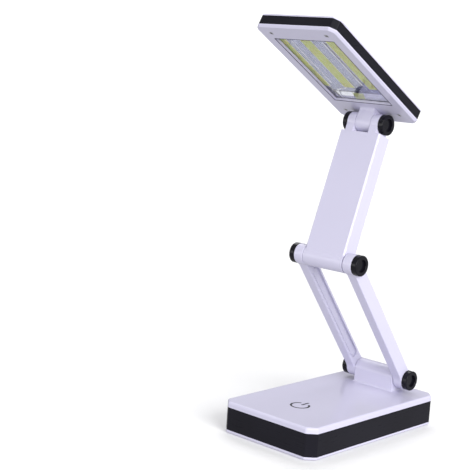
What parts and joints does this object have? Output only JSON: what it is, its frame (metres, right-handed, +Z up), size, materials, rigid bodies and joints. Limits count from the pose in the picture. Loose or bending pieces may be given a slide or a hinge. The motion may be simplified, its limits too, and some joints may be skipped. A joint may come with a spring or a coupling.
{
  "type": "folding desk lamp",
  "caption": "Folding battery desk lamp: a weighted base, a lower arm of side rails, a flat upper arm and a flat light head, on friction hinges.",
  "frame": {"origin": "middle of the base, on the surface that the lamp stands on", "axes": "+Z up; +Y towards the hinge end of the base; +X along the hinges, to the right seen from the front"},
  "size_m": [0.085, 0.1516, 0.2999],
  "materials": {
    "white_plastic": "gloss",
    "black_plastic": "gloss",
    "black_ink": "satin",
    "foot_rubber": "matte",
    "steel": "satin",
    "weight_steel": "matte",
    "washer_plastic": "satin",
    "battery_wrap": "satin",
    "nickel": "satin",
    "circuit_board": "satin",
    "chip_plastic": "matte",
    "copper": "satin",
    "lead_jacket": "satin",
    "clear_plastic": "gloss",
    "silvered_plastic": "gloss",
    "light_board": "satin",
    "phosphor": "satin"
  },
  "bodies": {
    "base": {"base_top_cover": "white_plastic", "base_side_band": "black_plastic", "base_bottom_cover": "white_plastic", "power_mark": "black_ink", "base_pad": "foot_rubber", "base_screws": "steel", "battery_cell": "battery_wrap", "battery_tabs": "nickel", "weight_plate": "weight_steel", "weight_screws": "steel", "control_board": "circuit_board", "board_screws": "steel", "board_parts": "chip_plastic", "charge_socket": "nickel", "indicator_guide": "clear_plastic", "touch_electrode": "copper", "touch_lead": "lead_jacket", "base_lead": "lead_jacket"},
    "lower_arm": {"right_rail": "white_plastic", "left_rail": "white_plastic", "rail_strips": "white_plastic", "base_hinge_pivots": "steel", "base_hinge_nuts": "steel", "base_hinge_washers": "steel", "base_hinge_caps": "black_plastic", "middle_hinge_pivots": "steel", "middle_hinge_nuts": "steel", "middle_hinge_washers": "steel", "middle_hinge_caps": "black_plastic"},
    "upper_arm": {"upper_arm_housing": "white_plastic", "upper_arm_cover": "white_plastic", "upper_arm_screws": "steel", "upper_arm_lead": "lead_jacket"},
    "head_pin": {"head_hinge_shaft": "steel", "head_hinge_caps": "black_plastic", "head_hinge_washers": "washer_plastic"},
    "head": {"head_face_frame": "white_plastic", "head_side_band": "black_plastic", "head_back_cover": "white_plastic", "face_screws": "steel", "window_ring": "white_plastic", "window_lens": "clear_plastic", "reflector": "silvered_plastic", "led_board": "light_board", "led_strips": "phosphor", "head_lead": "lead_jacket"}
  },
  "joints": [
    {"name": "base_hinge", "type": "hinge", "parent": "base", "child": "lower_arm", "pos_m": [0, 0.0575, 0.0337], "axis": [-1, 0, 0], "range_deg": [-51.6, 43.4]},
    {"name": "middle_hinge", "type": "hinge", "parent": "lower_arm", "child": "upper_arm", "pos_m": [0, -0.01853, 0.12962], "axis": [1, 0, 0], "range_deg": [-122.1, 57.9]},
    {"name": "head_fold", "type": "hinge", "parent": "upper_arm", "child": "head_pin", "pos_m": [0, 0.01622, 0.22775], "axis": [-1, 0, 0], "range_deg": [-93.2, 44.4]},
    {"name": "head_tilt", "type": "hinge", "parent": "head_pin", "child": "head", "pos_m": [0, 0.01622, 0.22775], "axis": [-1, 0, 0], "range_deg": [-7.4, 5.6]}
  ],
  "couplings": [
    {"joint": "head_fold", "follows": "middle_hinge", "ratio": 0.76}
  ]
}
